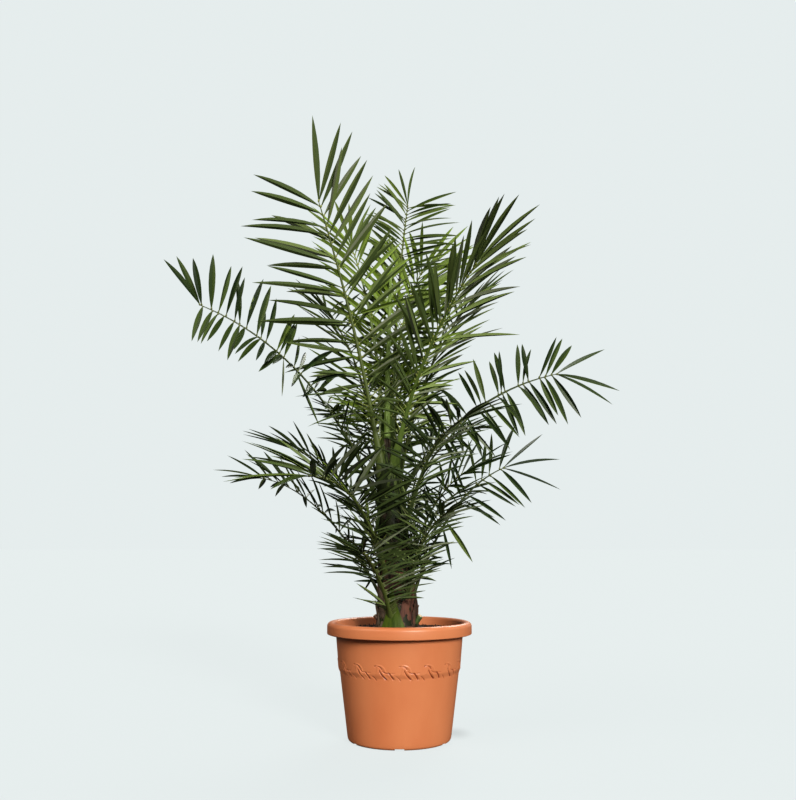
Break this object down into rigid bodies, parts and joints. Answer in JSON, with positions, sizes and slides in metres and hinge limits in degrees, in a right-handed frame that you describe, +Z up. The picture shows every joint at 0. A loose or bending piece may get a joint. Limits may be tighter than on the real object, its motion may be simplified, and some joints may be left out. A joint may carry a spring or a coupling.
{
  "type": "potted date palm",
  "caption": "Young date palm with arching feathery fronds on a short leaning trunk, in a terracotta-coloured plastic pot with a turned-over rim.",
  "frame": {"origin": "middle of the flat underside of the pot", "axes": "+Z up along the pot, +X to the right and +Y to the back of the plant as it is usually shown"},
  "size_m": [1.2165, 1.0302, 1.5861],
  "materials": {
    "pot": "smooth satin moulded plastic, terracotta orange",
    "soil": "dark moist potting mix of bark and peat",
    "trunk": "brown fibre and old leaf bases, rough",
    "stub": "cut leaf feet, green to brown with pale cut faces",
    "stalk": "smooth satin green leaf stalk",
    "spear": "folded new leaf, light green",
    "leaf_crown": "leathery green leaflets with a slight gloss",
    "leaf_inner": "new leaflets, bright yellow-green",
    "leaf_low": "older leaflets, dark green, dull above and grey-green below"
  },
  "bodies": {
    "root": {"frond_crown_back_blade": "leaf_crown", "frond_crown_back_stalk": "stalk", "frond_crown_inner_blade": "leaf_inner", "frond_crown_inner_left_blade": "leaf_inner", "frond_crown_inner_left_stalk": "stalk", "frond_crown_inner_stalk": "stalk", "frond_crown_left_blade": "leaf_crown", "frond_crown_left_stalk": "stalk", "frond_crown_rear_left_blade": "leaf_crown", "frond_crown_rear_left_stalk": "stalk", "frond_crown_rear_right_blade": "leaf_crown", "frond_crown_rear_right_stalk": "stalk", "frond_crown_right_blade": "leaf_crown", "frond_crown_right_stalk": "stalk", "frond_front_left_blade": "leaf_crown", "frond_front_left_stalk": "stalk", "frond_front_low_blade": "leaf_crown", "frond_front_low_stalk": "stalk", "frond_low_front_right_blade": "leaf_low", "frond_low_front_right_stalk": "stalk", "frond_low_left_blade": "leaf_low", "frond_low_left_stalk": "stalk", "frond_low_rear_blade": "leaf_low", "frond_low_rear_right_blade": "leaf_low", "frond_low_rear_right_stalk": "stalk", "frond_low_rear_stalk": "stalk", "frond_low_right_blade": "leaf_low", "frond_low_right_stalk": "stalk", "frond_low_side_right_blade": "leaf_low", "frond_low_side_right_stalk": "stalk", "frond_mid_front_right_blade": "leaf_low", "frond_mid_front_right_stalk": "stalk", "frond_mid_left_blade": "leaf_crown", "frond_mid_left_stalk": "stalk", "frond_mid_rear_blade": "leaf_low", "frond_mid_rear_left_blade": "leaf_low", "frond_mid_rear_left_stalk": "stalk", "frond_mid_rear_right_blade": "leaf_low", "frond_mid_rear_right_stalk": "stalk", "frond_mid_rear_stalk": "stalk", "frond_mid_right_blade": "leaf_crown", "frond_mid_right_stalk": "stalk", "frond_mid_side_left_blade": "leaf_low", "frond_mid_side_left_stalk": "stalk", "pot": "pot", "soil": "soil", "spear": "spear", "stub_back": "stub", "stub_left": "stub", "stub_right_high": "stub", "stub_right_low": "stub", "trunk": "trunk"}
  },
  "joints": []
}
